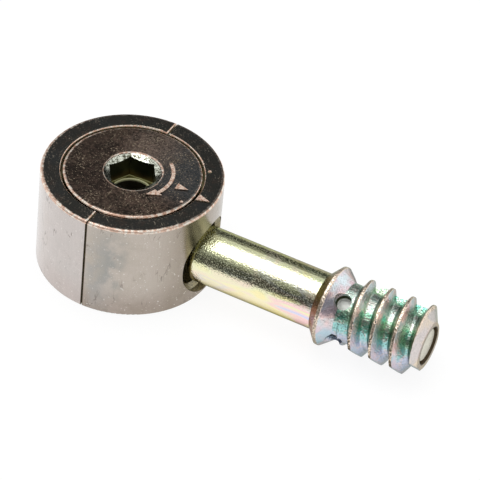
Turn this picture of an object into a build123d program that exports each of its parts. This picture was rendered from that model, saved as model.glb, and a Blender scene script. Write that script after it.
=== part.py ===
from build123d import *
import math
import os

# Furniture cam-lock connector: a split round housing, an eccentric cam turned by a
# hexagon key, and a connecting bolt with a cast thread. Lengths are millimetres.
# The origin is the centre of the housing's flat base, +Z up, and +X runs along the
# bolt, out of the housing. The connector is drawn open: the key has not been turned.

# ---- housing -------------------------------------------------------------
housing_radius = 12.5
housing_height = 14.85
bolt_height = 5.85  # bolt axis above the base
floor_thickness = 1.5
rim_round = 0.35
base_round = 0.15
top_bore_radius = 9.8
bore_round = 0.2
lip_thickness = 1.7
split_slot_width = 0.2
split_slot_depth = 0.5
split_bevel = 0.22
peg_radius = 0.55
peg_length = 1.6
peg_edge_distance = 1.0  # peg axis inside the outer wall
peg_heights = (4.0, 11.8)
peg_clearance = 0.05
mouth_radius = 5.55  # bolt opening at the outer wall
mouth_seat_radius = 5.42  # bolt opening at the foot of its mouth
throat_radius = 4.8  # bolt opening at the chamber
mouth_depth = 1.7
housing_index_start = 10.0
housing_index_length = 1.8
housing_nub_place = (10.45, 33.0)  # radius and degrees of the stub of a casting gate

# ---- cam -----------------------------------------------------------------
disc_radius = 9.45
disc_round = 0.22
flange_radius = 10.3
skirt_radius = 8.6
flange_bottom = 10.2  # height of the shoulder between skirt and flange
cam_gap = 0.3  # radial clearance of the cam in its chamber
cam_float = 0.06  # axial clearance of the cam
key_across_flats = 6.1
key_depth = 3.6
key_sink_radius = 3.95
key_sink_depth = 0.5
key_sink_slope = 28.0  # degrees down from the disc's face
key_hole_radius = 2.65
cam_rest_turn = 4.0  # degrees that the cam stands short of its index mark
cam_travel = 180.0  # degrees from open to tight
draw = 1.8  # how far the cam's whole travel draws the bolt in
spiral_open_radius = 7.1  # inside of the hooked wall where the head enters
window_clearance = 0.3
neck_clearance = 0.25
slot_runout = 22.0  # degrees of slot past the tight position
cam_nub_place = (8.8, -17.0)
nub_radius = 0.38
nub_height = 0.12
mark_height = 0.18
mark_width = 0.5
arrow_radius = 5.5
arrow_start = 45.0
arrow_end = -26.0
arrow_tip_radius = 5.1
arrow_tip_angle = -45.0
arrow_head_width = 1.4
cam_index_radius = 6.5
index_width = 1.25
cam_index_length = 1.75

# ---- bolt ----------------------------------------------------------------
shank_radius = 4.0
shank_start = 10.9
shank_round = 1.0
collar_start = 29.8
neck_radius = 2.3
head_radius = 3.2
head_back = 6.5  # neck side of the head
head_length = 2.1
head_chamfer = 0.5
recess_depth = 2.0  # cross recess in the head, for a screwdriver
recess_span = 4.4
recess_width = 1.0
recess_tip_span = 1.8
spigot_radius = 2.6
spigot_bevel = 0.35
bolt_end = 45.3
sleeve_end = 45.6
sleeve_gap = 0.05

# ---- thread sleeve -------------------------------------------------------
collar_radius = 5.6
collar_lip = 0.1  # step of the collar on the shank
collar_near = 1.3  # axial run of the collar's flank on the shank side
collar_land = 0.35
collar_far = 1.8  # axial run of its flank on the thread side
core_radius = 4.05
core_end_radius = 3.15
crest_radius = 5.35
crest_land = 0.3
pitch = 3.03
flank_angle = 28.0  # degrees from square to the axis
first_crest = 35.2  # where the crest passes the angle crest_angle
crest_angle = 46.0  # degrees about the bolt, from +Y towards +Z
thread_start = 33.9
thread_lead_in = 1.3
lead_in_foot = 0.1  # how far inside the core the lead-in starts
crest_margin = 0.01  # how far the turned envelope stands off the crest
ridge_root = 0.1  # how far the ridge is sunk in the thin end of the core
lead_out = 1.1  # axial length over which the thread dies away at the end
lead_out_radius = 3.5
flat_angle = 222.0  # degrees about the bolt of the flat along the thread
flat_distance = 4.7  # from the axis
end_flat_distance = 3.4  # the same where the last turn dies away
end_flat_start = 44.1
flash_angle = 44.0  # degrees about the bolt of the raised parting line
flash_root_radius = 2.9
flash_radius = 4.45
flash_thickness = 0.35
flash_start = 35.6
gate_radius = 4.85
gate_x = 37.1
gate_length = 1.0
core_hole_radius = 1.15
core_hole_x = 33.55
core_hole_angles = (31.0, 121.0, 211.0, 301.0)

# ---- sizes that follow from those ---------------------------------------
cam_top = housing_height
flange_top = housing_height - lip_thickness - cam_float
cam_bottom = floor_thickness + cam_float
spiral_tight_radius = spiral_open_radius - draw
window_half = head_radius + window_clearance
neck_half = neck_radius + neck_clearance
head_room_top = bolt_height + window_half
key_corner_radius = key_across_flats / math.sqrt(3)
cam_window_end = skirt_radius + 1
bolt_axis = Pos(0, 0, bolt_height)
overrun = 1.0  # how far a cutter runs past what it cuts
LOW = (Align.CENTER, Align.CENTER, Align.MIN)
FRONT_LOW = (Align.MIN, Align.CENTER, Align.MIN)


def disc(radius, bottom, top):
    """Upright cylinder between two heights."""
    return Pos(0, 0, bottom) * Cylinder(radius, top - bottom, align=LOW)


def along_bolt(points):
    """Solid turned about the bolt's axis from (distance from origin, radius) points."""
    face = make_face(Polyline(*[(x, r) for x, r in points], close=True))
    turned = revolve(Plane.XZ * face, Axis.X)
    return bolt_axis * turned


def radial_hole(x, angle, radius, reach):
    """Round cutter from the bolt's axis outwards, at an angle about the bolt."""
    bore = Cylinder(radius, reach, align=LOW)
    return bolt_axis * Pos(x, 0, 0) * Rot(angle - 90, 0, 0) * bore


def polar(radius, turn):
    """Point at a radius and an angle in degrees."""
    return (radius * math.cos(math.radians(turn)), radius * math.sin(math.radians(turn)))


def index_mark(start, length):
    """Raised triangle that points outwards along +X, its lower half sunk in the face."""
    corners = [(start, -index_width / 2), (start + length, 0), (start, index_width / 2)]
    return Pos(0, 0, -mark_height) * extrude(make_face(Polyline(*corners, close=True)), 2 * mark_height)


def gate_nub(place):
    """Low stub that is left where a casting was broken off its gate."""
    x, y = polar(*place)
    stub = Cone(nub_radius, nub_radius / 2, 2 * nub_height)
    return Pos(x, y, 0) * stub


# ---- housing -------------------------------------------------------------
def chamber():
    """Stepped round space in which the cam turns."""
    lower = disc(skirt_radius + cam_gap, floor_thickness, flange_bottom)
    ledge = flange_bottom - cam_float
    upper = disc(flange_radius + cam_gap, ledge, housing_height - lip_thickness)
    return lower + upper + disc(top_bore_radius, ledge, housing_height + overrun)


def bolt_opening():
    """Funnel-shaped mouth that guides the bolt's head to the cam."""
    mouth_end = housing_radius - mouth_depth
    seat = mouth_end + mouth_seat_radius - throat_radius
    outside = housing_radius + overrun
    return along_bolt(
        [(0, 0), (0, throat_radius), (mouth_end, throat_radius), (seat, mouth_seat_radius),
         (housing_radius, mouth_radius), (outside, mouth_radius), (outside, 0)]
    )


def split_grooves():
    """Fine slots that show where the two halves meet, bevelled on top."""
    slot = Box(split_slot_width, 2 * (housing_radius + overrun), housing_height + overrun, align=LOW)
    core = disc(housing_radius - split_slot_depth, 0, housing_height - split_slot_depth)
    notch = Polyline((-split_bevel, 0), (0, -split_bevel), (split_bevel, 0), close=True)
    bevel = extrude(Plane.XZ * make_face(notch), housing_radius + overrun, both=True)
    return slot - core + Pos(0, 0, housing_height) * bevel


def housing_body():
    """The whole housing before it is split."""
    body = disc(housing_radius, 0, housing_height)
    body = fillet(body.edges().group_by(Axis.Z)[-1], rim_round)
    body = fillet(body.edges().group_by(Axis.Z)[0], base_round)
    body = body - chamber() - bolt_opening()
    bore_edge = body.edges().filter_by(GeomType.CIRCLE).filter_by(
        lambda e: abs(e.radius - top_bore_radius) < 0.01 and abs(e.center().Z - housing_height) < 0.01
    )
    body = fillet(bore_edge, bore_round)
    raised = index_mark(housing_index_start, housing_index_length) + gate_nub(housing_nub_place)
    return body + Pos(0, 0, housing_height) * raised - split_grooves()


def pegs(clearance):
    """Cast pegs that locate one half in the other."""
    group = []
    y = housing_radius - peg_edge_distance
    for side in (-y, y):
        for z in peg_heights:
            peg = Rot(0, 90, 0) * Cylinder(peg_radius + clearance, peg_length + clearance, align=LOW)
            group.append(Pos(0, side, z) * peg)
    return group


def housing_halves():
    """Front half with the bolt opening, rear half with the pegs."""
    body = housing_body()
    half = Box(2 * housing_radius, 4 * housing_radius, 2 * housing_height, align=FRONT_LOW)
    front = body & half
    rear = body & (Rot(0, 0, 180) * half)
    for hole in pegs(peg_clearance):
        front -= hole
    for peg in pegs(0):
        rear += peg
    return front, rear


# ---- cam -----------------------------------------------------------------
def spiral_radius(turn):
    """Inside of the hooked wall, at so many degrees from the window."""
    return spiral_open_radius - draw * min(max(turn, 0), cam_travel) / cam_travel


def spiral_room():
    """Space for the bolt's head, with the spiral wall that draws it in."""
    steps = 6
    turns = [cam_travel * i / steps for i in range(steps + 1)]
    spiral = Spline([polar(spiral_radius(t), t) for t in turns])
    last = cam_travel + slot_runout
    tight = RadiusArc(spiral @ 1, polar(spiral_tight_radius, last), -spiral_tight_radius)
    step = Line(tight @ 1, polar(spiral_open_radius, last))
    middle = polar(spiral_open_radius, (last + 360) / 2)
    wide = ThreePointArc(step @ 1, middle, spiral @ 0)
    face = make_face([spiral, tight, step, wide])
    return Pos(0, 0, cam_bottom - overrun) * extrude(face, head_room_top - cam_bottom + overrun)


def sector(radius, start, end):
    """Upright wedge face between two angles, under a half turn at a time."""
    middle = (start + end) / 2
    arc = ThreePointArc(polar(radius, start), polar(radius, middle), polar(radius, end))
    return make_face([Line((0, 0), arc @ 0), arc, Line(arc @ 1, (0, 0))])


def neck_slot():
    """Slot through the skirt that lets the neck pass as the cam turns."""
    end = cam_travel + slot_runout
    low = bolt_height - neck_half
    wedge = extrude(sector(cam_window_end, 0, end / 2), 2 * neck_half)
    wedge += extrude(sector(cam_window_end, end / 2, end), 2 * neck_half)
    return Pos(0, 0, low) * wedge


def key_socket():
    """Countersunk hexagon socket with a round hole on through its floor."""
    floor = cam_top - key_depth
    hexagon = extrude(RegularPolygon(key_corner_radius, 6), key_depth + overrun)
    sink_end = key_sink_radius - key_sink_depth / math.tan(math.radians(key_sink_slope))
    sink = Cone(sink_end, key_sink_radius, key_sink_depth, align=LOW)
    hole = disc(key_hole_radius, head_room_top - overrun, floor + overrun)
    return Pos(0, 0, floor) * hexagon + Pos(0, 0, cam_top - key_sink_depth) * sink + hole


def arc_between(radius, start, end):
    """Arc about the cam's axis."""
    return ThreePointArc(polar(radius, start), polar(radius, (start + end) / 2), polar(radius, end))


def turning_arrow():
    """Raised curved arrow: turn clockwise to tighten. Its lower half is sunk in the face."""
    outer = arc_between(arrow_radius + mark_width / 2, arrow_start, arrow_end)
    inner = arc_between(arrow_radius - mark_width / 2, arrow_start, arrow_end)
    shaft = make_face([outer, inner, Line(outer @ 0, inner @ 0), Line(outer @ 1, inner @ 1)])
    wing = arrow_head_width / 2
    barbs = [polar(arrow_radius + wing, arrow_end), polar(arrow_radius - wing, arrow_end)]
    tip = polar(arrow_tip_radius, arrow_tip_angle)
    head = make_face(Polyline(barbs[0], tip, barbs[1], close=True))
    return Pos(0, 0, -mark_height) * extrude(shaft + head, 2 * mark_height)


def cam():
    """Cam with its top disc, flange and hooked skirt."""
    body = disc(disc_radius, flange_bottom, cam_top)
    body = fillet(body.edges().group_by(Axis.Z)[-1], disc_round)
    body += disc(flange_radius, flange_bottom, flange_top)
    body += disc(skirt_radius, cam_bottom, flange_top)
    room = head_room_top - cam_bottom + overrun
    window = Box(cam_window_end, 2 * window_half, room, align=FRONT_LOW)
    body = body - spiral_room() - neck_slot() - Pos(0, 0, cam_bottom - overrun) * window - key_socket()
    raised = turning_arrow() + index_mark(cam_index_radius, cam_index_length) + gate_nub(cam_nub_place)
    return Rot(0, 0, cam_rest_turn) * (body + Pos(0, 0, cam_top) * raised)


# ---- bolt ----------------------------------------------------------------
def driver_recess(start):
    """Tapered cross recess, cut into the head's end face."""
    across = Box(recess_width, recess_span, 2 * recess_depth)
    cross = across + Rot(0, 0, 90) * across
    taper = Cone(recess_span / 2, recess_tip_span / 2, recess_depth, align=LOW)
    return bolt_axis * Pos(start, 0, 0) * Rot(0, 90, 0) * (cross & taper)


def bolt_pin():
    """Turned steel pin: head, neck, shank and the spigot under the sleeve."""
    cone = head_radius - neck_radius
    front = head_back - head_length
    pin = along_bolt(
        [(front, 0), (front, head_radius - head_chamfer), (front + head_chamfer, head_radius),
         (head_back - cone, head_radius), (head_back, neck_radius), (shank_start, neck_radius),
         (shank_start, shank_radius), (collar_start, shank_radius), (collar_start, spigot_radius),
         (bolt_end - spigot_bevel, spigot_radius), (bolt_end, spigot_radius - spigot_bevel),
         (bolt_end, 0)]
    )
    shoulder = pin.edges().filter_by(GeomType.CIRCLE).filter_by(
        lambda e: abs(e.center().X - shank_start) < 0.01 and abs(e.radius - shank_radius) < 0.01
    )
    return fillet(shoulder, shank_round) - driver_recess(front)


def sleeve_core():
    """Collar and tapered core of the sleeve, with its bore for the spigot."""
    near = collar_start + collar_near
    land = near + collar_land
    far = land + collar_far
    bore = spigot_radius + sleeve_gap
    return along_bolt(
        [(collar_start, bore), (collar_start, shank_radius + collar_lip), (near, collar_radius),
         (land, collar_radius), (far, core_radius), (thread_start + pitch / 4, core_radius),
         (sleeve_end, core_end_radius), (sleeve_end, bore)]
    )


def thread_ridge():
    """Right-handed ridge swept along a helix, cut to its run-in and to the end face."""
    root = core_end_radius - ridge_root
    run = (crest_radius - root) * math.tan(math.radians(flank_angle))
    turns_before = math.ceil((first_crest - thread_start) / pitch + 0.5)
    start_x = first_crest - turns_before * pitch
    length = sleeve_end + pitch - start_x
    path = Helix(pitch, length, root)
    base = crest_land / 2 + run
    land = crest_land / 2
    corners = [(root, -base), (crest_radius, -land), (crest_radius, land), (root, base)]
    profile = Plane.XZ * make_face(Polyline(*corners, close=True))
    ridge = sweep(profile, path=path, is_frenet=True)
    lying = Rot(0, 90, 0) * Rot(0, 0, 90) * ridge
    return bolt_axis * Pos(start_x, 0, 0) * Rot(crest_angle, 0, 0) * lying & thread_envelope()


def thread_envelope():
    """Turned space inside which the thread may stand."""
    full = thread_start + thread_lead_in
    outside = crest_radius + crest_margin
    return along_bolt(
        [(thread_start - overrun, 0), (thread_start - overrun, core_end_radius),
         (thread_start, core_radius - lead_in_foot), (full, outside), (sleeve_end - lead_out, outside),
         (sleeve_end, lead_out_radius), (sleeve_end, 0)]
    )


def trimming_block(start, distance):
    """Block that trims one side of the thread to a flat, from one place to the end."""
    depth = crest_radius - distance + overrun
    block = Box(sleeve_end - start + overrun, 3 * crest_radius, depth, align=FRONT_LOW)
    return bolt_axis * Rot(flat_angle - 90, 0, 0) * Pos(start, 0, distance) * block


def casting_flash():
    """Raised parting line between the ridges, with the stub of the gate."""
    def rib(start, length, radius):
        web = Box(length, flash_thickness, radius - flash_root_radius, align=FRONT_LOW)
        return bolt_axis * Rot(flash_angle - 90, 0, 0) * Pos(start, 0, flash_root_radius) * web

    line = rib(flash_start, sleeve_end - lead_out - flash_start, flash_radius)
    return line + rib(gate_x - gate_length / 2, gate_length, gate_radius)


def thread_sleeve():
    """Cast sleeve: core, collar and thread, with its core holes."""
    spigot = along_bolt(
        [(collar_start, 0), (collar_start, spigot_radius + sleeve_gap),
         (sleeve_end + overrun, spigot_radius + sleeve_gap), (sleeve_end + overrun, 0)]
    )
    trims = trimming_block(thread_start - pitch, flat_distance)
    trims += trimming_block(end_flat_start, end_flat_distance)
    body = sleeve_core() + (thread_ridge() - trims - spigot) + casting_flash()
    for angle in core_hole_angles:
        body -= radial_hole(core_hole_x, angle, core_hole_radius, crest_radius + overrun)
    return body


# ---- write one file for each piece ----------------------------------------
def main():
    os.makedirs("parts", exist_ok=True)
    front, rear = housing_halves()
    pieces = {
        "housing_front_half": front,
        "housing_rear_half": rear,
        "cam": cam(),
        "bolt_pin": bolt_pin(),
        "thread_sleeve": thread_sleeve(),
    }
    for name, shape in pieces.items():
        export_step(shape, f"parts/{name}.step")
        print(name, len(shape.solids()), "solid,", round(shape.volume, 1), "mm3")


main()
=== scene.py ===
# %% [markdown]
# # A cam-lock connector, dressed for its portrait
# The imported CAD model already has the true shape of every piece: two halves of a round
# die-cast housing, the cam that a hexagon key turns inside it, and a plated steel bolt
# with a cast thread on its end. Blender adds what a CAD solid lacks: the bronze-black
# finish with worn copper edges, the yellow plating, and a thread with the soft ridges
# and small faults of a real casting. Lengths here are metres and the frame is the CAD
# model's own: the origin under the housing, +X along the bolt, +Z up.

# %% Load the fixed frame
import math

import bmesh
import bpy
from mathutils import Matrix, Vector


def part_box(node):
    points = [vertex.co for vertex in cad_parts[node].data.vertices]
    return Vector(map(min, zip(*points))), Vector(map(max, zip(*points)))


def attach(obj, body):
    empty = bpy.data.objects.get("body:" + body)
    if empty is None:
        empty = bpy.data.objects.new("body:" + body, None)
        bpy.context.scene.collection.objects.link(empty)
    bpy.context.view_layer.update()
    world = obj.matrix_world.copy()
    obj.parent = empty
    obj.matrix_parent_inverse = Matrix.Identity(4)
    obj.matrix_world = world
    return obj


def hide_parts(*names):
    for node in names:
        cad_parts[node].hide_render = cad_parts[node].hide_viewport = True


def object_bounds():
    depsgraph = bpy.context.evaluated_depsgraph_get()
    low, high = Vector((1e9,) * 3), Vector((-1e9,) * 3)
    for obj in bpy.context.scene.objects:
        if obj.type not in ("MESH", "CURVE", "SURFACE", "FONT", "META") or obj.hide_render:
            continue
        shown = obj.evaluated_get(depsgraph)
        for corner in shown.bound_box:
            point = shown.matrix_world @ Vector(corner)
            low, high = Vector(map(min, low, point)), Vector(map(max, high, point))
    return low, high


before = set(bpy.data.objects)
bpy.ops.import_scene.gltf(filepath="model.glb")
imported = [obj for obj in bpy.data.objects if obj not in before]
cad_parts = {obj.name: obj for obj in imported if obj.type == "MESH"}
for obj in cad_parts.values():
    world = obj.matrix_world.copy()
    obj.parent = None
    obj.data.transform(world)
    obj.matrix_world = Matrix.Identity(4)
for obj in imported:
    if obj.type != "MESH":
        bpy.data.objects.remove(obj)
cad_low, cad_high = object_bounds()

MM = 0.001
print("CAD box, mm:", [round(v / MM, 2) for v in (*cad_low, *cad_high)])

# %% [markdown]
# ## Sizes that the finishes need
# A worn edge has to lie on its edge, so its place comes from the model. The boxes of the
# pieces give the large sizes. The small ones are typed in again from the CAD source.

# %% Sizes from the frame and the source, in millimetres
def box_mm(node):
    """Lowest and highest corner of a CAD node, in millimetres."""
    low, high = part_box(node)
    return Vector(low) / MM, Vector(high) / MM


barrel_radius = box_mm("housing_rear_half")[1].y
top_height = box_mm("housing_rear_half")[1].z
bolt_height = sum(v.z for v in box_mm("thread_sleeve")) / 2
sleeve_start = box_mm("thread_sleeve")[0].x
sleeve_end = box_mm("thread_sleeve")[1].x
collar_radius = box_mm("thread_sleeve")[1].z - bolt_height
ring_bore = 9.8
disc_edge = 9.45
sink_radius = 3.95
socket_depth = 3.6
print("barrel radius", round(barrel_radius, 2), "top", round(top_height, 2),
      "bolt axis", round(bolt_height, 2))

# %% [markdown]
# ## Writing node trees as sums
# A finish made of nodes is really a formula: how far from the axis, how high, which way
# the surface faces. Drawn as boxes and wires, such a formula is hard to read. `Wires`
# adds the nodes, and `Flow` lets the numbers that run through them be added, multiplied
# and compared in plain Python. Both work in a material and in Geometry Nodes alike.

# %% A small helper for node trees
class Flow:
    """A number that flows through a node tree."""

    def __init__(self, wires, socket):
        self.wires, self.socket = wires, socket

    def __add__(self, other):
        return self.wires.math("ADD", self, other)

    def __radd__(self, other):
        return self.wires.math("ADD", other, self)

    def __sub__(self, other):
        return self.wires.math("SUBTRACT", self, other)

    def __rsub__(self, other):
        return self.wires.math("SUBTRACT", other, self)

    def __mul__(self, other):
        return self.wires.math("MULTIPLY", self, other)

    def __rmul__(self, other):
        return self.wires.math("MULTIPLY", other, self)

    def __truediv__(self, other):
        return self.wires.math("DIVIDE", self, other)


class Wires:
    """Adds nodes to one tree and wires them up."""

    def __init__(self, tree):
        self.tree = tree

    def feed(self, socket, value):
        """Gives a socket a link or a fixed value."""
        if isinstance(value, Flow):
            value = value.socket
        if isinstance(value, bpy.types.NodeSocket):
            self.tree.links.new(value, socket)
        else:
            socket.default_value = value

    def node(self, kind, inputs=None, **settings):
        """Adds a node, feeds its inputs and makes its settings."""
        made = self.tree.nodes.new(kind)
        for key, value in settings.items():
            setattr(made, key, value)
        for key, value in (inputs or {}).items():
            self.feed(made.inputs[key], value)
        return made

    def math(self, operation, *values):
        made = self.node("ShaderNodeMath", dict(enumerate(values)), operation=operation)
        return Flow(self, made.outputs[0])

    def least(self, a, b):
        return self.math("MINIMUM", a, b)

    def most(self, a, b):
        return self.math("MAXIMUM", a, b)

    def ramp(self, value, low, high, from_value=0.0, to_value=1.0, smooth=True):
        """Runs from one value to another while value passes from low to high."""
        kind = "SMOOTHSTEP" if smooth else "LINEAR"
        inputs = {0: value, 1: low, 2: high, 3: from_value, 4: to_value}
        made = self.node("ShaderNodeMapRange", inputs, interpolation_type=kind)
        return Flow(self, made.outputs[0])

    def slide(self, share, below, above):
        """The number that lies this share of the way from below to above."""
        return below + (above - below) * share

    def band(self, value, low, high, soft):
        """1 between low and high, 0 outside, with soft edges."""
        rise = self.ramp(value, low - soft, low + soft)
        return rise * self.ramp(value, high + soft, high - soft)

    def split(self, vector):
        """The three parts of a vector."""
        parts = self.node("ShaderNodeSeparateXYZ", {0: vector})
        return [Flow(self, out) for out in parts.outputs]

    def join(self, x, y, z):
        return self.node("ShaderNodeCombineXYZ", {0: x, 1: y, 2: z}).outputs[0]

    def noise(self, place, grain, detail=2.0, roughness=0.5, lump=0.0):
        """Noise whose lumps are about grain millimetres across."""
        inputs = {"Vector": place, "Scale": 1 / grain, "Detail": detail, "Roughness": roughness,
                  "Distortion": lump}
        return Flow(self, self.node("ShaderNodeTexNoise", inputs).outputs[0])

    def blend(self, share, below, above):
        """Colour that goes from below to above."""
        # A Mix node has sockets for every data type: 6 and 7 in, and 2 out, are its colours.
        made = self.node("ShaderNodeMix", {0: share, 6: below, 7: above}, data_type="RGBA")
        return made.outputs[2]


# %% [markdown]
# ## Colours as they look
# Blender's colour sockets are linear, while a colour given as a screen value is not. `tint`
# takes the familiar 0 to 255 values of a screen and turns them into linear ones.

# %% Colours from screen values
def tint(red, green, blue):
    def linear(value):
        share = value / 255
        return share / 12.92 if share <= 0.04045 else ((share + 0.055) / 1.055) ** 2.4

    return (linear(red), linear(green), linear(blue), 1.0)


print("the screen's middle grey in linear light:", round(tint(128, 128, 128)[0], 3))


# %% [markdown]
# ## Starting a metal
# Every visible piece is bare or plated metal, so all the finishes share one start: a
# metallic surface shader, the place on the piece in millimetres, and the way the surface
# faces. Each finish then fills in colour, roughness and small bumps. The pattern reads
# Object coordinates, so it stays put when the piece moves.

# %% The shared start of a finish
class Metal:
    """A metal finish and the numbers that describe a point on the piece.

    Radius and angle are taken about Z, or about an axis along X at axis_height.
    """

    def __init__(self, name, axis_height=None):
        self.material = bpy.data.materials.new(name)
        self.material.use_nodes = True
        tree = self.material.node_tree
        tree.nodes.clear()
        self.wires = Wires(tree)
        self.shader = self.wires.node("ShaderNodeBsdfPrincipled", {"Metallic": 1.0})
        output = self.wires.node("ShaderNodeOutputMaterial")
        tree.links.new(self.shader.outputs[0], output.inputs["Surface"])
        spot = self.wires.node("ShaderNodeTexCoord")
        scaled = self.wires.node("ShaderNodeVectorMath",
                                 {0: spot.outputs["Object"], "Scale": 1 / MM},
                                 operation="SCALE")
        self.place = scaled.outputs[0]
        self.x, self.y, self.z = self.wires.split(self.place)
        self.face_x, _, self.face_z = self.wires.split(spot.outputs["Normal"])
        across, up = (self.x, self.y) if axis_height is None else (self.y, self.z - axis_height)
        self.radius = self.wires.math("SQRT", across * across + up * up)
        self.angle = self.wires.math("ARCTAN2", up, across) * (180 / math.pi)

    def finish(self, colour, roughness, bump=None, depth=0.01):
        """Fills the shader: depth is the height of the bumps in millimetres."""
        self.wires.feed(self.shader.inputs["Base Color"], colour)
        self.wires.feed(self.shader.inputs["Roughness"], roughness)
        if bump is not None:
            inputs = {"Height": bump, "Distance": depth * MM, "Strength": 1.0}
            made = self.wires.node("ShaderNodeBump", inputs)
            self.wires.feed(self.shader.inputs["Normal"], made.outputs[0])
        return self.material


# %% [markdown]
# ## The housing's finish
# The zinc housing is plated with copper and then blackened. On top the black stays, with
# fine tan flecks where it is thin, which also serve as painted glints. Tumbling wears it
# off the edges, where the copper shows pink; its pale patches are painted highlights, and
# the wear is painted stronger towards -Y and -X as a painted highlight. The barrel was
# rubbed to a satin pinkish grey, with small nicks. Round the bolt's opening it is darker,
# as painted shade and a painted reflection of the bolt, and its lower part is painted
# darker as shade. One material can hold all of this, because height, distance from the
# axis and the way a face points tell the zones apart. The front half's barrel is painted
# darker than the rear's, as painted shade.

# %% Black bronze with copper edges, for the housing
copper = tint(232, 190, 166)
# Painted highlight: the pale tone on worn copper.
copper_glint = tint(252, 242, 228)
bronze_black = tint(44, 43, 38)
bronze_brown = tint(70, 54, 44)
bronze_slate = tint(46, 50, 52)
bronze_tan = tint(194, 182, 162)
inside_olive = tint(124, 116, 86)
gap_black = tint(30, 26, 22)
mm_per_degree = 0.22  # along the barrel's wall


def flecks_and_glints(metal, grain, low, high):
    """Fine pale spots where the black is thin, which also serve as painted glints; thicker in some
    patches than in others.
    """
    wires = metal.wires
    fine = wires.noise(metal.place, grain, detail=2.0, roughness=0.7)
    patches = wires.noise(metal.place, 9 * grain, detail=3.0)
    return wires.ramp(fine + 0.3 * (patches - 0.5), low, high)


def hairlines(metal, across, along, up, width, low, high):
    """Fine scratches: noise that is drawn out along one direction."""
    wires = metal.wires
    place = wires.join(across, along * 0.07, up)
    return wires.ramp(wires.noise(place, width, detail=2.0, roughness=0.6), low, high)


def veins(metal, place, grain, width, low, high):
    """Thin wandering lines: a contour of noise, broken up where other noise is low."""
    wires = metal.wires
    contour = wires.noise(place, grain, detail=3.0, roughness=0.55)
    off_line = wires.math("ABSOLUTE", contour - 0.5)
    here = wires.ramp(wires.noise(metal.place, 3.1, detail=2.0), low, high)
    return wires.ramp(off_line, width, 0.0, smooth=False) * here


def round_edge(metal):
    """1 on rounded edges, 0 on flat tops and upright walls."""
    return metal.wires.band(metal.face_z, 0.16, 0.86, 0.06)


def edge_wear_and_highlight(metal, ragged, inner, outer):
    """Wear that runs from a rounded edge a little way onto the flat top, painted stronger towards
    -Y and -X as a painted highlight.
    """
    wires = metal.wires
    # Painted highlight: the wear grows towards -Y and -X.
    near = wires.ramp(metal.y + 0.5 * metal.x, 4.0, -3.0, 0.25, 1.0)
    ring = wires.ramp(metal.radius + 0.35 * (ragged - 0.5), inner - 0.16, inner + 0.02)
    return ring * wires.ramp(metal.radius, outer + 0.02, outer) * near * 0.75


def worn_copper_and_glints(metal, ragged):
    """Worn copper, with pale patches painted on as highlights."""
    return metal.wires.blend(metal.wires.ramp(ragged, 0.42, 0.62), copper, copper_glint)


def raised_mark(metal):
    """1 on the arrow and triangles that stand above the top."""
    return metal.wires.ramp(metal.z, top_height + 0.05, top_height + 0.1)


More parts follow.
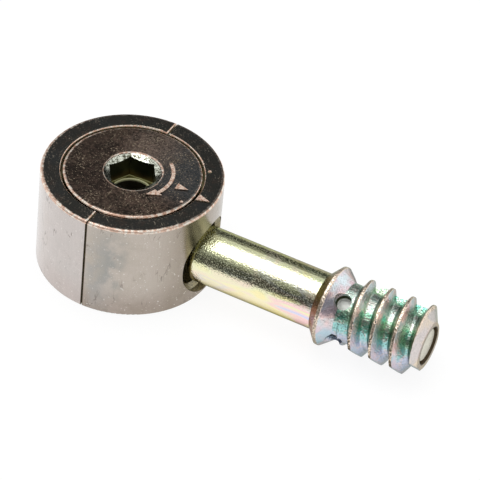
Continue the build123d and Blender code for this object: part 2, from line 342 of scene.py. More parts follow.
def housing_finish(name, barrel, shaded_barrel_low, patch, patch_angle):
    """The first two colours are the wall above and below, the lower one painted darker as shade;
    patch is a stain on it.
    """
    metal = Metal(name)
    wires = metal.wires
    ragged = wires.noise(metal.place, 0.55, detail=3.0)
    broad = wires.noise(metal.place, 5.0, detail=2.0)
    middle = wires.noise(metal.place, 1.1, detail=4.0, roughness=0.65)
    fine = wires.noise(metal.place, 0.22, detail=2.0, roughness=0.6)

    facing_up = wires.ramp(metal.face_z, 0.8, 0.93)
    top = facing_up * wires.ramp(metal.z, top_height - 0.6, top_height - 0.4)
    black = wires.blend(wires.ramp(middle, 0.5, 0.68) * 0.6, bronze_black, bronze_brown)
    black = wires.blend(wires.ramp(broad, 0.45, 0.7) * 0.5, black, bronze_slate)
    black = wires.blend(flecks_and_glints(metal, 0.24, 0.62, 0.72) * 0.6, black, bronze_tan)
    slanting = hairlines(metal, metal.x + metal.y, metal.x - metal.y, metal.z, 0.2, 0.66, 0.76)
    straight = hairlines(metal, metal.x, metal.y, metal.z, 0.2, 0.68, 0.78)
    black = wires.blend(wires.most(slanting, straight) * 0.7, black, bronze_tan)

    mottle = wires.ramp(wires.noise(metal.place, 2.2, detail=4.0, roughness=0.6), 0.3, 0.7)
    # The lower wall is painted darker as shade.
    side = wires.blend(wires.ramp(metal.z + 2.5 * (broad - 0.5), 5.5, 1.0), barrel, shaded_barrel_low)
    ragged_angle = metal.angle + 12 * (mottle - 0.5)
    tinted = wires.band(ragged_angle, patch_angle - 7, patch_angle + 7, 9.0)
    tinted = tinted * wires.band(metal.z + 2 * mottle, 3.0, 14.0, 4.0)
    side = wires.blend(tinted * 0.75, side, patch)
    # Painted shade and a painted reflection of the bolt: the wall is darker round its opening.
    off_bolt = wires.math("ABSOLUTE", metal.angle + 8 * (mottle - 0.5))
    painted_shade_by_bolt = wires.ramp(off_bolt, 50.0, 24.0) * wires.ramp(metal.x, 5.0, 8.0)
    side = wires.blend(painted_shade_by_bolt * 0.65, side, tint(128, 117, 98))
    side = wires.blend(mottle * 0.16, side, tint(222, 208, 204))
    streaks = wires.join(metal.angle * mm_per_degree, metal.z * 0.1, metal.radius * 0.2)
    brushed = wires.noise(streaks, 0.3, detail=3.0, roughness=0.7)
    side = wires.blend(wires.ramp(brushed, 0.3, 0.7) * 0.06, side, tint(120, 110, 100))
    upright = wires.join(metal.angle * mm_per_degree, metal.z * 0.22, 0.0)
    level = wires.join(metal.angle * 0.05, metal.z, 3.0)
    tall_nicks = veins(metal, upright, 1.6, 0.014, 0.54, 0.66)
    low_nicks = veins(metal, level, 1.9, 0.011, 0.46, 0.36) * wires.ramp(metal.z, 9.0, 7.0)
    nicks = wires.most(tall_nicks, low_nicks * 0.35)
    side = wires.blend(nicks * 0.7, side, tint(100, 90, 82))
    glints = wires.ramp(wires.noise(metal.place, 0.3, detail=2.0), 0.66, 0.72)
    side = wires.blend(glints * 0.6, side, tint(226, 222, 216))
    spots = wires.ramp(wires.noise(metal.place, 0.4, detail=2.0), 0.72, 0.78)
    side = wires.blend(spots * 0.5, side, tint(116, 104, 92))
    from_seam = wires.math("ABSOLUTE", metal.x)
    seam = wires.ramp(from_seam + 0.12 * (ragged - 0.5), 0.24, 0.14)
    side = wires.blend(seam * 0.6, side, tint(138, 104, 84))
    side = wires.blend(wires.ramp(from_seam, 0.18, 0.14), side, gap_black)

    edges = round_edge(metal)
    near_top = wires.ramp(metal.z, top_height - 0.42, top_height - 0.34)
    rim = edges * wires.ramp(metal.radius, barrel_radius - 0.4, barrel_radius - 0.36)
    rim = wires.most(rim, edge_wear_and_highlight(metal, ragged, barrel_radius - 0.36, barrel_radius)) * near_top
    lip = edges * near_top * wires.ramp(metal.radius, ring_bore + 0.3, ring_bore + 0.24)
    groove = wires.band(metal.x + 0.2 * (ragged - 0.5), -0.26, -0.06, 0.05) * near_top
    groove_shade = wires.band(metal.x, -0.04, 0.16, 0.03) * near_top
    mark = raised_mark(metal)

    wall = wires.ramp(metal.radius, barrel_radius - 0.12, barrel_radius - 0.03)
    inside = wires.blend(wires.ramp(fine, 0.4, 0.65), inside_olive, tint(178, 166, 124))
    colour = wires.blend(wires.most(wall, rim), inside, side)
    colour = wires.blend(top, colour, black)
    worn = worn_copper_and_glints(metal, ragged)
    thin = wires.ramp(ragged, 0.36, 0.5)
    for edge, share in ((rim, 0.7 + 0.3 * thin), (lip, 0.95), (groove, 0.6 + 0.3 * thin)):
        colour = wires.blend(edge * share, colour, worn)
    colour = wires.blend(groove_shade * 0.9, colour, gap_black)
    # The raised marks are copper with pale glints painted on as highlights.
    copper_and_glint_tone = wires.blend(wires.ramp(fine, 0.4, 0.6), tint(196, 150, 126), tint(255, 232, 214))
    colour = wires.blend(mark, colour, copper_and_glint_tone)

    dents = wires.noise(metal.place, 0.9, detail=2.0)
    wall_bump = 0.12 * brushed + 0.25 * dents - 0.25 * nicks + 0.06 * fine
    bump = top * (0.9 * fine + 0.5 * middle) + (1.0 - top) * wall_bump
    roughness = wires.ramp(top, 0.0, 1.0, 0.24, 0.26) + 0.1 * (broad - 0.5)
    shine = wires.most(wires.most(rim, lip), mark)
    hidden = 1.0 - wires.most(wires.most(wall, rim), top)
    wires.feed(metal.shader.inputs["Metallic"], 1.0 - 0.5 * wires.most(shine, hidden))
    wires.feed(metal.shader.inputs["Coat Weight"], 0.35)
    wires.feed(metal.shader.inputs["Coat Roughness"], 0.22)
    return metal.finish(colour, roughness, bump, depth=0.03)


rear_finish = housing_finish("satin bronze, rear half", barrel=tint(195, 188, 184),
                             shaded_barrel_low=tint(190, 180, 175), patch=tint(198, 188, 182),
                             patch_angle=-130.0)
# Painted shade: the front half's barrel is darker than the rear's.
front_finish = housing_finish("satin bronze, front half", barrel=tint(180, 171, 160),
                              shaded_barrel_low=tint(156, 144, 132), patch=tint(140, 144, 142),
                              patch_angle=-78.0)
print("housing finishes:", rear_finish.name, "/", front_finish.name)

# %% [markdown]
# ## The cam's finish
# The cam is a second casting with the same treatment, browner and more mottled than the
# ring round it. Its raised arrow and triangle are rubbed to bare copper, with pale glints
# painted on as highlights. The countersink is patchy silver, and the hexagon's walls are
# smooth and dark with an olive cast. Pale lines at the foot of those walls and round the
# hole in the socket's floor are painted highlights, and the hole itself is painted dark
# as shade.

# %% Brown-black bronze, for the cam
rub_place = 6.3  # a rubbed patch on the disc, this far along +Y
foot_hole_radius = 2.65  # the hole in the foot of the key socket


def cam_finish():
    metal = Metal("brown bronze, cam")
    wires = metal.wires
    ragged = wires.noise(metal.place, 0.55, detail=3.0)
    broad = wires.noise(metal.place, 3.2, detail=3.0, roughness=0.6)
    middle = wires.noise(metal.place, 0.5, detail=4.0, roughness=0.75)
    fine = wires.noise(metal.place, 0.22, detail=2.0, roughness=0.65)

    mottle = wires.ramp(middle + 0.5 * (broad - 0.5), 0.36, 0.66)
    brown = wires.blend(mottle, tint(50, 43, 38), tint(112, 93, 82))
    slate = wires.ramp(metal.x + 6 * (broad - 0.5), -1.0, 5.0) * wires.ramp(metal.y, -5.0, 1.0)
    slate_tone = wires.blend(middle, tint(48, 52, 56), tint(104, 110, 112))
    brown = wires.blend(slate * 0.7, brown, slate_tone)
    brown = wires.blend(wires.ramp(broad, 0.5, 0.66) * 0.5, brown, tint(66, 56, 46))
    dark_third = wires.ramp(metal.x + 0.5 * metal.y, 0.0, -6.0)
    brown = wires.blend(dark_third * 0.45, brown, tint(56, 48, 43))
    beside_rub = metal.y - rub_place
    from_rub = wires.math("SQRT", metal.x * metal.x + beside_rub * beside_rub)
    rubbed = wires.ramp(from_rub + 3.0 * (ragged - 0.5), 5.5, 1.5) * wires.ramp(fine, 0.3, 0.7)
    brown = wires.blend(rubbed * 0.7, brown, tint(160, 142, 130))
    brown = wires.blend(flecks_and_glints(metal, 0.26, 0.59, 0.7) * 0.7, brown, tint(206, 188, 162))
    straight = hairlines(metal, metal.x, metal.y, metal.z, 0.24, 0.62, 0.76)
    slanting = hairlines(metal, metal.x + 0.8 * metal.y, metal.y - 0.8 * metal.x, metal.z,
                         0.24, 0.64, 0.78)
    scuffs = wires.most(straight, slanting) * wires.ramp(broad, 0.4, 0.6)
    brown = wires.blend(scuffs * 0.6, brown, tint(196, 178, 152))

    near_top = wires.ramp(metal.z, top_height - 0.35, top_height - 0.28)
    edges = round_edge(metal)
    rim = edges * wires.ramp(metal.radius, disc_edge - 0.3, disc_edge - 0.26)
    rim = wires.most(rim, edge_wear_and_highlight(metal, ragged, disc_edge - 0.24, disc_edge)) * near_top
    far_side = wires.ramp(metal.y + 1.5 * (ragged - 0.5), 0.0, 3.0)
    lip_edge = sink_radius + 0.12 + 0.16 * far_side
    socket_lip = wires.band(metal.radius + 0.3 * (ragged - 0.5), sink_radius, lip_edge, 0.05)
    socket_lip = socket_lip * (0.6 + 0.4 * far_side)
    mark = raised_mark(metal)

    well = wires.ramp(metal.radius, sink_radius + 0.02, sink_radius - 0.03)
    sunk = wires.ramp(metal.z, top_height - 0.02, top_height - 0.08)
    slope = wires.band(metal.face_z, 0.4, 0.95, 0.05)
    silver = wires.ramp(middle + 0.6 * (fine - 0.5), 0.38, 0.62)
    sink = wires.blend(silver, tint(72, 72, 56), tint(222, 226, 212))
    upper_wall = wires.ramp(metal.z, top_height - 3.2, top_height - 2.0)
    wall = wires.blend(upper_wall, tint(92, 80, 54), tint(78, 82, 62))
    foot = top_height - socket_depth
    # Painted highlights: pale lines at the foot of the hexagon's walls and round the hole in its
    # floor.
    foot_highlight = wires.ramp(metal.z, foot + 0.2, foot + 0.08)
    floor = wires.ramp(metal.face_z, 0.9, 0.97)
    hole_rim_highlight = wires.band(metal.radius, foot_hole_radius + 0.01, foot_hole_radius + 0.27, 0.04)
    hole_rim_highlight = hole_rim_highlight * floor
    olive = wires.blend(slope, wall, sink)
    at_foot = wires.ramp(metal.z, foot + 0.2, foot + 0.1)
    olive = wires.blend(floor * at_foot, olive, tint(150, 146, 96))
    painted_highlight_lines = wires.most(foot_highlight * (1.0 - floor), hole_rim_highlight)
    olive = wires.blend(painted_highlight_lines, olive, tint(226, 226, 178))
    # Painted shade: the hole below the socket's floor is dark.
    olive = wires.blend(wires.ramp(metal.z, foot - 0.1, foot - 0.3), olive, tint(40, 36, 24))

    socket = well * sunk
    colour = wires.blend(socket, brown, olive)
    worn = worn_copper_and_glints(metal, ragged)
    thin = wires.ramp(ragged, 0.36, 0.5)
    colour = wires.blend(rim * (0.7 + 0.3 * thin), colour, worn)
    colour = wires.blend(socket_lip * near_top * (0.6 + 0.4 * thin), colour, worn)
    # The raised marks are copper with pale glints painted on as highlights.
    copper_and_glint_tone = wires.blend(wires.ramp(fine, 0.4, 0.6), tint(196, 152, 128), tint(255, 234, 216))
    colour = wires.blend(mark, colour, copper_and_glint_tone)
    skirt = wires.ramp(metal.z, top_height - 0.6, top_height - 0.9) * (1.0 - well)
    colour = wires.blend(skirt, colour, inside_olive)

    flat_top = wires.ramp(metal.face_z, 0.9, 0.97) * near_top
    bump = flat_top * (0.9 * fine + 0.6 * middle) + (1.0 - flat_top) * (0.2 * fine + 0.2 * middle)
    roughness = wires.ramp(socket, 0.0, 1.0, 0.27, 0.42) - 0.2 * slope * well
    roughness = roughness + 0.1 * (broad - 0.5)
    shine = wires.most(wires.most(rim, mark), socket_lip * near_top)
    pale = wires.most(painted_highlight_lines * well * sunk, 0.5 * shine)
    wires.feed(metal.shader.inputs["Metallic"], 1.0 - pale)
    return metal.finish(colour, roughness, bump, depth=0.03)


cam_bronze = cam_finish()
print("cam finish:", cam_bronze.name)

# %% [markdown]
# ## The pin's finish
# The bolt's pin is turned steel with yellow zinc plating. It is nearly a mirror, so most
# of what shows on it is the room. What belongs to the plating itself is a grainy surface
# that breaks the reflections into specks, and a thin film that drifts from straw yellow
# to pink and green. The specks gather on the upper side, and the cut end is pale. The
# underside is painted paler, as a painted reflection of the white floor, and the grain is
# painted darker on the upper side only, as painted shade. A specular tint keeps the metal
# from turning white where it is seen edge-on.

# %% Yellow plated steel, for the pin
pin_end_from, pin_end_to = 45.0, 45.2  # where the colour of the cut end comes in


def pin_finish():
    metal = Metal("yellow plated steel", bolt_height)
    wires = metal.wires
    grain = wires.noise(metal.place, 0.2, detail=1.0, roughness=0.6)
    along = wires.join(metal.x * 0.3, metal.y, metal.z)
    drift = wires.noise(along, 2.4, detail=1.2, roughness=0.45, lump=0.6)
    specks = wires.ramp(wires.noise(metal.place, 0.17, detail=1.0), 0.5, 0.64)

    # Painted reflection: the underside is painted paler, as the white floor shows in it.
    upper, floor_lit_lower = tint(230, 234, 194), tint(250, 240, 210)
    painted_light_share = wires.ramp(metal.face_z + 0.25 * (drift - 0.5), -0.35, 0.55)
    colour = wires.blend(painted_light_share, floor_lit_lower, upper)
    film = wires.ramp(metal.x, 15.0, 28.0, 0.3, 1.0) * wires.ramp(metal.face_z, 0.6, 0.2, 0.4, 1.0)
    colour = wires.blend(wires.band(drift, 0.53, 0.58, 0.04) * film, colour, tint(250, 206, 214))
    colour = wires.blend(wires.band(drift, 0.60, 0.66, 0.04) * film, colour, tint(214, 210, 244))
    colour = wires.blend(wires.band(drift, 0.44, 0.48, 0.04) * film, colour, tint(252, 236, 164))
    green = wires.band(drift, 0.36, 0.40, 0.04) * film
    colour = wires.blend(green * 0.8, colour, tint(206, 232, 190))
    # Painted shade: the plating's grain is darkened on the upper side only.
    upper_side = wires.ramp(metal.face_z, 0.1, 0.4)
    grain_and_painted_shade = wires.ramp(grain, 0.5, 0.36) * 0.4 * upper_side
    colour = wires.blend(grain_and_painted_shade, colour, tint(150, 146, 98))
    end = wires.ramp(metal.x, pin_end_from, pin_end_to)
    colour = wires.blend(end, colour, tint(255, 250, 232))
    specks = specks * wires.ramp(metal.face_z, 0.2, 0.5, 0.04, 1.0)
    wires.feed(metal.shader.inputs["Metallic"], 1.0 - wires.most(0.4 * specks, 0.8 * end))
    roughness = 0.07 + 0.06 * grain
    metal.shader.inputs["Specular Tint"].default_value = tint(136, 136, 110)
    return metal.finish(colour, roughness, grain, depth=0.03)


pin_plating = pin_finish()
print("pin finish:", pin_plating.name)

# %% [markdown]
# ## The sleeve's finish
# The sleeve is cast on the pin and passivated, so its film is thicker and changes colour
# with every slope: lilac and cyan on the core, green between, pink on the flanks. The
# crests are rubbed to a dull cream with dark specks. Part of the change from the top to
# the underside is painted light: the top of the core and of the collar are painted paler
# as highlights, and a band on the collar darker as painted shade. The floors of the core
# holes are painted white as a highlight, and their walls and the bore at the tip dark, as
# painted shade.

# %% Iridescent casting, for the sleeve
crest_radius = 5.35
core_radius = 4.05


def sleeve_finish():
    metal = Metal("iridescent casting", bolt_height)
    wires = metal.wires
    grain = wires.noise(metal.place, 0.2, detail=2.0, roughness=0.6)
    drift = wires.noise(metal.place, 1.3, detail=1.5, roughness=0.5, lump=0.6)
    cloud = wires.noise(metal.place, 2.6, detail=1.0, roughness=0.5, lump=0.5)
    cloud = wires.ramp(cloud, 0.4, 0.6)
    specks = wires.ramp(wires.noise(metal.place, 0.19, detail=1.0), 0.5, 0.62)
    lift = (metal.z - bolt_height) / metal.radius + 0.3 * (drift - 0.5)

    teal = wires.blend(cloud, tint(128, 204, 184), tint(182, 220, 190))
    # Painted highlight: the top of the core is paler.
    teal = wires.blend(wires.ramp(lift, 0.8, 0.95), teal, tint(196, 216, 206))
    low = wires.blend(wires.ramp(lift, 0.1, -0.25), tint(156, 208, 206), tint(194, 200, 220))
    core = wires.blend(wires.ramp(lift, 0.45, 0.25), teal, low)
    core = wires.blend(wires.band(drift, 0.5, 0.56, 0.04) * 0.5, core, tint(236, 212, 206))

    on_collar = wires.ramp(metal.x, sleeve_start + 3.9, sleeve_start + 3.6)
    last = wires.ramp(metal.x, sleeve_end - 1.5, sleeve_end - 1.1)
    facing = wires.blend(cloud, tint(238, 210, 208), tint(212, 220, 224))
    low_tone = wires.blend(cloud, tint(186, 206, 218), tint(224, 200, 208))
    facing = wires.blend(wires.ramp(lift, 0.3, -0.1), facing, low_tone)
    shaded = on_collar * wires.band(lift, 0.45, 0.8, 0.1)
    facing = wires.blend(shaded * 0.8, facing, tint(124, 118, 132))
    # Painted highlight: the top of the collar's flank is pale.
    collar_top_highlight = wires.blend(cloud, tint(232, 244, 250), tint(240, 214, 222))
    facing = wires.blend(on_collar * wires.ramp(lift, 0.84, 0.94), facing, collar_top_highlight)
    last_tone = wires.blend(cloud, tint(232, 216, 198), tint(214, 206, 204))
    facing = wires.blend(last, facing, last_tone)
    turned_away = wires.blend(wires.ramp(lift, 0.5, 0.0), tint(234, 212, 190), tint(222, 198, 190))
    near_collar = wires.ramp(metal.x, sleeve_start + 1.45, sleeve_start + 1.25)
    brassy = wires.blend(cloud, tint(206, 152, 136), tint(214, 172, 176))
    brassy = wires.blend(wires.ramp(lift, 0.4, 0.8), brassy, tint(150, 126, 92))
    turned_away = wires.blend(near_collar, turned_away, brassy)
    steep = wires.ramp(wires.math("ABSOLUTE", metal.face_x), 0.36, 0.6)
    flank = wires.blend(wires.ramp(metal.face_x, -0.1, 0.1), turned_away, facing)
    high = wires.ramp(metal.radius + 0.6 * (drift - 0.5), 4.2, 4.8)
    high = high * wires.ramp(lift, -0.4, 0.2, 0.4, 1.0)
    film_zone = wires.most(high, wires.most(on_collar, last))
    colour = wires.blend(steep * film_zone, core, flank)

    collar = wires.ramp(metal.x, sleeve_start + 3.6, sleeve_start + 3.4)
    top = wires.slide(collar, crest_radius, collar_radius)
    crest = wires.ramp(metal.radius + 0.25 * (grain - 0.5) - top,
                       wires.slide(collar, -0.24, -0.15), wires.slide(collar, -0.1, -0.04))
    cut_crest = wires.band(metal.x + 0.2 * grain, sleeve_end - 1.35, sleeve_end - 0.75, 0.1)
    cut_crest = cut_crest * wires.ramp(metal.radius, 4.0, 4.2)
    cut_crest = cut_crest * wires.ramp(metal.face_x, -0.8, -0.6)
    crest = crest * wires.ramp(wires.math("ABSOLUTE", metal.face_x), 0.9, 0.6)
    crest = wires.most(crest, cut_crest)
    dull = wires.ramp(grain + 0.15 * lift, 0.56, 0.51) * (1.0 - 0.4 * collar)
    colour = wires.blend(crest, colour, wires.blend(dull, tint(252, 232, 212), tint(80, 66, 54)))
    end = wires.ramp(metal.face_x, 0.85, 0.97)
    end = end * wires.ramp(metal.x, sleeve_end - 0.2, sleeve_end - 0.1)
    end_tone = wires.blend(cloud, tint(226, 204, 184), tint(212, 192, 188))
    colour = wires.blend(end, colour, end_tone)
    specks = specks * (1.0 - 0.8 * steep * film_zone)
    specks = specks * wires.ramp(lift, -0.2, 0.3, 0.3, 1.0)
    colour = wires.blend(specks * 0.6, colour, tint(80, 92, 70))
    # Painted shade: near the collar, below radius 3.7, where the walls of the core holes are, the
    # colour is dark.
    wall = wires.ramp(metal.radius, 3.7, 3.55) * wires.ramp(metal.x, 36.0, 35.8)
    colour = wires.blend(wall, colour, tint(70, 74, 54))
    # The floors of the core holes are painted white as a highlight, and the bore at the tip dark
    # as painted shade.
    hole = wires.ramp(metal.radius, 2.9, 2.75)
    hole_highlight_and_bore_shade = wires.blend(wires.ramp(metal.x, 36.0, 37.0), tint(254, 255, 250), tint(84, 70, 50))
    colour = wires.blend(hole, colour, hole_highlight_and_bore_shade)
    dim = wires.most(0.8 * hole, wires.most(0.15 * crest, 0.35 * specks))
    wires.feed(metal.shader.inputs["Metallic"], 1.0 - dim)
    roughness = 0.13 + 0.03 * crest + 0.2 * hole + 0.06 * drift
    bump = grain + 0.8 * wires.noise(metal.place, 0.6, detail=2.0)
    metal.shader.inputs["Specular Tint"].default_value = tint(176, 186, 176)
    return metal.finish(colour, roughness, bump, depth=0.07)


sleeve_casting = sleeve_finish()
print("sleeve finish:", sleeve_casting.name)

# %% [markdown]
# ## Giving the CAD pieces their finish
# The shapes of the housing, the cam and the pin are right as they come, so they stay.
# Only their material slots are filled again.

# %% Finishes onto the CAD pieces
finishes = {
    "housing_front_half": front_finish,
    "housing_rear_half": rear_finish,
    "cam": cam_bronze,
    "bolt_pin": pin_plating,
}
for node, finish in finishes.items():
    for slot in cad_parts[node].material_slots:
        slot.material = finish
print("finished:", ", ".join(finishes))

# %% [markdown]
# ## The thread sleeve
# On the real bolt this is one zinc casting: a collar with two sloping flanks, a core that
# gets thinner towards the tip, and a coarse ridge that winds round it. It could be cut
# from a cylinder ridge by ridge, but its shape is one rule: at any distance along the
# bolt and any angle round it there is one radius. So a flat sheet of points is rolled up,
# and Geometry Nodes work out the radius of each point from that rule. The largest of
# core, ridge and parting line wins, blended softly, as metal fills the corners of a
# mould. A short stub stands on the parting line, where the casting was broken off its
# gate. The four core holes push their points straight down to the pin. They are a little
# smaller here than in the CAD model.

# %% Sizes of the sleeve, in millimetres and degrees
sleeve_sizes = {
    "Start": sleeve_start,
    "End": sleeve_end,
    "Bore radius": 2.65,
    "Collar radius": collar_radius,
    "Core radius": core_radius,
    "Core end radius": 3.15,
    "Crest radius": crest_radius,
    "Pitch": 3.03,
    "First crest": 35.2,
    "Crest angle": 46.0,
    "Thread start": 33.9,
    "Hole radius": 1.06,
    "Hole place": 33.55,
    "Hole angle": 31.0,
    "Flat angle": 222.0,
    "Flat distance": 4.7,
    "Flash angle": 44.0,
    "Gate place": 37.1,
    "Gate length": 1.0,
    "Gate radius": 4.85,
    "Casting unevenness": 0.03,
    "Seed": 4.0,
}
collar_run = (1.3, 0.35, 1.8)  # near flank, land, far flank
collar_foot = 4.1  # radius
core_taper_from = 0.76  # past the start of the thread
flank_slope = 1 / math.tan(math.radians(28))
half_crest_land = 0.15
lead_in, lead_out = 1.3, 1.1  # runs over which the ridge rises and falls
lead_out_radius = 3.5
tip_cut = (1.9, 1.2, 3.4)  # the flat deepens between these runs from the end, to this distance
root_blend, tip_blend, line_blend = 0.45, 0.2, 0.1  # reach of the soft corners
line_radius = 4.25  # crest of the parting line
line_start = 35.6
rows, columns = 360, 260
print("sleeve from", round(sleeve_start, 2), "to", round(sleeve_end, 2), "mm, rolled from",
      rows, "by", columns, "points")

# %% The rule for the radius
def sleeve_radius(wires, size, x, angle, place):
    """Radius of the sleeve's skin at x along the bolt and an angle round it."""
    near = size["Start"] + collar_run[0]
    land = near + collar_run[1]
    far = land + collar_run[2]
    thin = wires.ramp(x, size["Thread start"] + core_taper_from, size["End"],
                      size["Core radius"], size["Core end radius"], smooth=False)
    rise = wires.ramp(x, size["Start"], near, collar_foot, size["Collar radius"], smooth=False)
    fall = wires.ramp(x, land, far, size["Collar radius"], size["Core radius"], smooth=False)
    collar = wires.least(rise, fall)
    collar = collar * wires.ramp(x, far + 0.02, far, 0.0, 1.0, smooth=False)
    core = wires.math("SMOOTH_MAX", collar, thin, 0.25)
    core = wires.slide(wires.ramp(x, near, land, smooth=False), rise, core)

    turns = (x - size["First crest"]) / size["Pitch"] - (angle - size["Crest angle"]) / 360
    from_crest = wires.math("ABSOLUTE", wires.math("WRAP", turns, 0.5, -0.5)) * size["Pitch"]
    ridge = size["Crest radius"] - wires.most(from_crest - half_crest_land, 0.0) * flank_slope
    ridge = wires.math("SMOOTH_MIN", ridge, size["Crest radius"] - 0.03, 0.1)
    rising = wires.ramp(x, size["Thread start"], size["Thread start"] + lead_in,
                        size["Core radius"] - 0.1, size["Crest radius"], smooth=False)
    falling = wires.ramp(x, size["End"] - lead_out, size["End"], size["Crest radius"],
                         lead_out_radius, smooth=False)
    side = wires.math("COSINE", (angle - size["Flat angle"]) * (math.pi / 180))
    cut_from, cut_to, cut_distance = tip_cut
    reach = wires.ramp(x, size["End"] - cut_from, size["End"] - cut_to, size["Flat distance"],
                       cut_distance)
    flat = reach / wires.most(side, 0.3)
    ridge = wires.math("SMOOTH_MIN", wires.least(ridge, rising), wires.least(falling, flat),
                       tip_blend)
    ridge = ridge * wires.ramp(x, size["Thread start"] - 0.05, size["Thread start"], smooth=False)
    skin = wires.math("SMOOTH_MAX", core, ridge, root_blend)

    line_turn = (angle - size["Flash angle"]) * (math.pi / 180)
    off_line = wires.math("ABSOLUTE", wires.math("SINE", line_turn))
    facing = wires.math("COSINE", line_turn)
    uneven = wires.noise(place, 0.9, detail=2.0)
    half_gate = size["Gate length"] * 0.5
    gate = wires.band(x, size["Gate place"] - half_gate, size["Gate place"] + half_gate, 0.05)
    line_top = wires.most(line_radius + 0.5 * uneven, gate * size["Gate radius"])
    flash = wires.ramp(off_line * 4.2, 0.32, 0.1, 0.0, line_top)
    flash = flash * wires.ramp(facing, 0.0, 0.1)
    flash = flash * wires.band(x, line_start, size["End"] - 1.2, 0.1)
    skin = wires.math("SMOOTH_MAX", skin, flash, line_blend)
    fine = wires.noise(place, 0.7, detail=3.0) - 0.5
    return skin + fine * size["Casting unevenness"] * 2.0


# %% [markdown]
# The sheet is rolled so that its long side runs along the outside of the sleeve, over
# the end face, back through the bore and over the first face. Its edges then meet, and
# merging them closes the piece.

# %% The Geometry Nodes tree
# Shares of the sheet at which the skin ends, the bore begins and the bore ends.
skin_end, bore_start, bore_end = 0.88, 0.91, 0.97
holes_end = 0.87  # the core holes stay on the skin
above_pin = 0.02  # millimetres between the floor of a core hole and the bore
noise_radius = 4.0
merge_distance = 0.002  # millimetres


def sleeve_tree():
    tree = bpy.data.node_groups.new("cast thread sleeve", "GeometryNodeTree")
    tree.interface.new_socket("Geometry", in_out="OUTPUT", socket_type="NodeSocketGeometry")
    for name, value in sleeve_sizes.items():
        made = tree.interface.new_socket(name, in_out="INPUT", socket_type="NodeSocketFloat")
        made.default_value = value
    for name in ("Rows", "Columns"):
        tree.interface.new_socket(name, in_out="INPUT", socket_type="NodeSocketInt")
    tree.interface.new_socket("Finish", in_out="INPUT", socket_type="NodeSocketMaterial")
    wires = Wires(tree)
    given = wires.node("NodeGroupInput")
    size = {name: Flow(wires, given.outputs[name]) for name in sleeve_sizes}

    sheet = wires.node("GeometryNodeMeshGrid", {
        "Size X": 1.0, "Size Y": 1.0,
        "Vertices X": given.outputs["Rows"], "Vertices Y": given.outputs["Columns"]})
    along, round_share, _ = wires.split(wires.node("GeometryNodeInputPosition").outputs[0])
    along, angle = along + 0.5, (round_share + 0.5) * 360.0
    out = wires.ramp(along, 0.0, skin_end, smooth=False)
    back = wires.ramp(along, bore_start, bore_end, smooth=False)
    x = size["Start"] + (size["End"] - size["Start"]) * (out - back)
    skin_share = (wires.ramp(along, skin_end, bore_start, 1.0, 0.0, smooth=False)
                  + wires.ramp(along, bore_end, 1.0, smooth=False))

    turn = angle * (math.pi / 180)
    rough_place = wires.join(x + size["Seed"], wires.math("COSINE", turn) * noise_radius,
                             wires.math("SINE", turn) * noise_radius)
    skin = sleeve_radius(wires, size, x, angle, rough_place)
    radius = size["Bore radius"] + (skin - size["Bore radius"]) * skin_share

    # The nearest core hole is within 45 degrees; its points move straight down to the pin.
    beside = wires.math("WRAP", angle - size["Hole angle"], 45.0, -45.0)
    beside_turn = beside * (math.pi / 180)
    sideways = radius * wires.math("SINE", beside_turn)
    height = radius * wires.math("COSINE", beside_turn)
    lengthways = x - size["Hole place"]
    off_hole = wires.math("SQRT", lengthways * lengthways + sideways * sideways)
    inside = wires.ramp(off_hole, size["Hole radius"] + 0.05, size["Hole radius"] - 0.05)
    inside = inside * wires.ramp(along, skin_end, holes_end, smooth=False)
    pin_level = size["Bore radius"] + above_pin
    level = wires.math("SQRT", wires.most(pin_level * pin_level - sideways * sideways, 0.5))
    height = height + (level - height) * inside
    hole_turn = (angle - beside) * (math.pi / 180)
    cosine, sine = wires.math("COSINE", hole_turn), wires.math("SINE", hole_turn)
    y = height * cosine - sideways * sine
    z = height * sine + sideways * cosine + bolt_height

    placed = wires.node("ShaderNodeVectorMath", {0: wires.join(x, y, z), "Scale": MM},
                        operation="SCALE")
    rolled = wires.node("GeometryNodeSetPosition", {
        "Geometry": sheet.outputs["Mesh"], "Position": placed.outputs[0]})
    closed = wires.node("GeometryNodeMergeByDistance", {
        "Geometry": rolled.outputs[0], "Distance": merge_distance * MM})
    real = wires.node("GeometryNodeRealizeInstances", {"Geometry": closed.outputs[0]})
    coated = wires.node("GeometryNodeSetMaterial", {
        "Geometry": real.outputs[0], "Material": given.outputs["Finish"]})
    end = wires.node("NodeGroupOutput")
    tree.links.new(coated.outputs[0], end.inputs[0])
    return tree


# %% Roll the sleeve and keep it as a plain mesh
sharp_angle = math.radians(50)


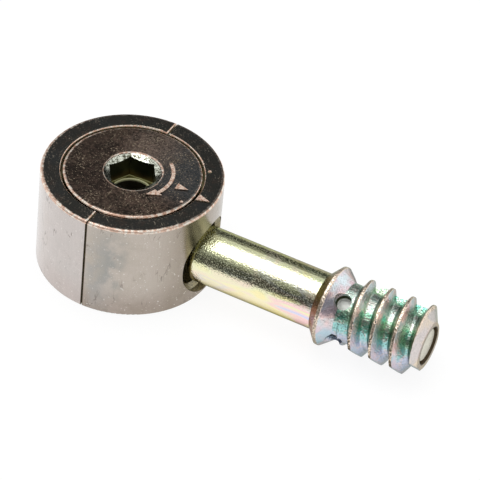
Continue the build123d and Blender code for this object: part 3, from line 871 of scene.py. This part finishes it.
def make_sleeve():
    maker = bpy.data.objects.new("sleeve_maker", bpy.data.meshes.new("sleeve_maker"))
    bpy.context.scene.collection.objects.link(maker)
    modifier = maker.modifiers.new("sleeve", "NODES")
    modifier.node_group = sleeve_tree()
    sockets = {item.name: item.identifier for item in modifier.node_group.interface.items_tree
               if item.in_out == "INPUT"}
    choices = {**sleeve_sizes, "Rows": rows, "Columns": columns, "Finish": sleeve_casting}
    for name, value in choices.items():
        modifier[sockets[name]] = value
    evaluated = maker.evaluated_get(bpy.context.evaluated_depsgraph_get())
    mesh = bpy.data.meshes.new_from_object(evaluated)
    bpy.data.objects.remove(maker)

    shell = bmesh.new()
    shell.from_mesh(mesh)
    bmesh.ops.recalc_face_normals(shell, faces=shell.faces)
    open_edges = sum(1 for edge in shell.edges if len(edge.link_faces) != 2)
    volume = shell.calc_volume(signed=True)
    shell.to_mesh(mesh)
    shell.free()
    mesh.shade_smooth()
    mesh.set_sharp_from_angle(angle=sharp_angle)
    mesh.name = "cast_thread_sleeve"
    sleeve = bpy.data.objects.new("cast_thread_sleeve", mesh)
    bpy.context.scene.collection.objects.link(sleeve)
    print("sleeve:", len(mesh.polygons), "faces,", open_edges, "open edges,",
          round(volume / MM**3), "mm3")
    return sleeve


sleeve = make_sleeve()
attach(sleeve, "bolt")
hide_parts("thread_sleeve")

# %% [markdown]
# ## The table and the white room
# The connector stands on a plain white floor. Its white comes from the floor's own
# material, which glows for what the camera and mirrors see, and never from more light on
# the metal. A share of that white is lit and not glowing, so the shadow still shows.

# %% Floor and world
def flat_sheet(name, corners):
    mesh = bpy.data.meshes.new(name)
    mesh.from_pydata([Vector(c) for c in corners], [], [tuple(range(len(corners)))])
    made = bpy.data.objects.new(name, mesh)
    bpy.context.scene.collection.objects.link(made)
    return made


def seen_directly(wires):
    """1 for rays from the camera, in mirrors and through glass."""
    path = wires.node("ShaderNodeLightPath")
    seen = wires.most(path.outputs["Is Camera Ray"], path.outputs["Is Glossy Ray"])
    return wires.most(seen, path.outputs["Is Transmission Ray"])


def white_with_shadow(wires, glow, share):
    """A glowing white that also takes this share of the light, and so of the shadow."""
    shaded = wires.node("ShaderNodeBsdfDiffuse", {"Color": (share, share, share, 1.0)})
    glowing = wires.node("ShaderNodeEmission", {"Strength": glow})
    both = wires.node("ShaderNodeAddShader", {0: shaded.outputs[0], 1: glowing.outputs[0]})
    return both.outputs[0]


def floor_material():
    material = bpy.data.materials.new("white floor")
    material.use_nodes = True
    material.node_tree.nodes.clear()
    wires = Wires(material.node_tree)
    plain = wires.node("ShaderNodeBsdfDiffuse", {"Color": (0.8, 0.8, 0.8, 1.0)})
    path = wires.node("ShaderNodeLightPath")
    in_mirrors = white_with_shadow(wires, glow=0.83, share=0.28)
    to_camera = white_with_shadow(wires, glow=0.88, share=0.16)
    white = wires.node("ShaderNodeMixShader", {
        0: path.outputs["Is Camera Ray"], 1: in_mirrors, 2: to_camera})
    mixed = wires.node("ShaderNodeMixShader", {
        0: seen_directly(wires), 1: plain.outputs[0], 2: white.outputs[0]})
    output = wires.node("ShaderNodeOutputMaterial")
    material.node_tree.links.new(mixed.outputs[0], output.inputs["Surface"])
    return material


floor_reach = 1.5
corners = ((-1, -1), (1, -1), (1, 1), (-1, 1))
floor = flat_sheet("floor", [(x, y, cad_low.z) for x, y in corners])
floor.data.transform(Matrix.Diagonal((floor_reach, floor_reach, 1, 1)))
floor.data.materials.append(floor_material())

world = bpy.data.worlds.new("white room")
bpy.context.scene.world = world
world.use_nodes = True
world.node_tree.nodes.clear()
room = Wires(world.node_tree)
room_light, room_seen = 0.6, 1.0
strength = room.ramp(seen_directly(room), 0.0, 1.0, room_light, room_seen, smooth=False)
background = room.node("ShaderNodeBackground",
                       {"Color": (1.0, 1.0, 1.0, 1.0), "Strength": strength})
world_output = room.node("ShaderNodeOutputWorld")
world.node_tree.links.new(background.outputs[0], world_output.inputs["Surface"])
print("floor at", round(floor.data.vertices[0].co.z / MM, 3), "mm")

# %% [markdown]
# ## Light that shows metal
# A mirror in an evenly white room is simply white, and loses its shape. A studio hangs
# one wide soft lamp overhead and stands dark cards behind, in front and at the side, just
# out of the picture. The cards show in the metal as the dark bands that run along the
# bolt. Only reflections see them here, so they take no light from anything.

# %% Overhead lamp and three dark cards
def soft_lamp(name, place, size_x, size_y, watts):
    lamp = bpy.data.lights.new(name, "AREA")
    lamp.shape, lamp.size, lamp.size_y, lamp.energy = "RECTANGLE", size_x, size_y, watts
    made = bpy.data.objects.new(name, lamp)
    made.location = place
    bpy.context.scene.collection.objects.link(made)
    return made


def dark_card(name, left, right, steps):
    """A card that stands between two spots on the floor.

    Its glow climbs through steps of (height, brightness).
    """
    top = steps[-1][0]
    card = flat_sheet(name, [(*left, 0), (*right, 0), (*right, top), (*left, top)])
    material = bpy.data.materials.new(name)
    material.use_nodes = True
    material.node_tree.nodes.clear()
    wires = Wires(material.node_tree)
    spot = wires.node("ShaderNodeTexCoord")
    height = wires.split(spot.outputs["Object"])[2]
    shade = steps[0][1]
    for (low, dim), (high, bright) in zip(steps, steps[1:]):
        shade = wires.ramp(height, low, high, 0.0, bright - dim) + shade
    glow = wires.node("ShaderNodeEmission", {"Strength": shade})
    output = wires.node("ShaderNodeOutputMaterial")
    material.node_tree.links.new(glow.outputs[0], output.inputs["Surface"])
    card.data.materials.append(material)
    card.visible_camera = card.visible_diffuse = False
    card.visible_shadow = card.visible_transmission = False
    return card


lamp = soft_lamp("overhead", place=(-0.2, -0.05, 1.0), size_x=0.62, size_y=0.84, watts=4.0)
back_card = dark_card("card_behind", left=(-1.2, 0.6), right=(0.15, 0.6),
                      steps=[(0.34, 0.05), (0.69, 0.75), (1.2, 0.78), (2.2, 1.0)])
front_card = dark_card("card_in_front", left=(-1.2, -0.6), right=(1.2, -0.6),
                       steps=[(0.4, 0.07), (0.62, 0.3), (0.92, 0.52), (1.35, 0.95)])
side_card = dark_card("card_at_the_side", left=(0.75, 0.25), right=(0.75, -0.4),
                      steps=[(0.3, 1.0), (0.5, 0.25), (1.1, 0.3), (1.3, 1.0)])
print("lamp and cards:", lamp.name, back_card.name, front_card.name, side_card.name)

# %% [markdown]
# ## The camera
# It looks down at the connector from the front right with a long lens, a little tilted,
# so that the bolt runs down across the picture.

# %% Camera
aim = Vector((15.106, 3.842, 7.0)) * MM
distance = 0.41956
azimuth, elevation, roll = (math.radians(v) for v in (23.90, 40.81, 6.15))
film_width, focal_length = 36.0, 231.5  # millimetres
back = Vector((math.sin(azimuth) * math.cos(elevation),
               -math.cos(azimuth) * math.cos(elevation), math.sin(elevation)))
right = (-back).cross(Vector((0, 0, 1))).normalized()
up = right.cross(-back)
tilted_right = math.cos(roll) * right + math.sin(roll) * up
tilted_up = -math.sin(roll) * right + math.cos(roll) * up
turn = Matrix((tilted_right, tilted_up, back)).transposed()
lens = bpy.data.cameras.new("camera")
lens.sensor_width, lens.lens = film_width, focal_length
lens.clip_start, lens.clip_end = 0.01, 10.0
camera = bpy.data.objects.new("camera", lens)
camera.matrix_world = Matrix.Translation(aim + back * distance) @ turn.to_4x4()
bpy.context.scene.collection.objects.link(camera)
bpy.context.scene.camera = camera
bpy.context.scene.view_settings.view_transform = "Standard"
print("camera at", [round(v, 4) for v in camera.location])
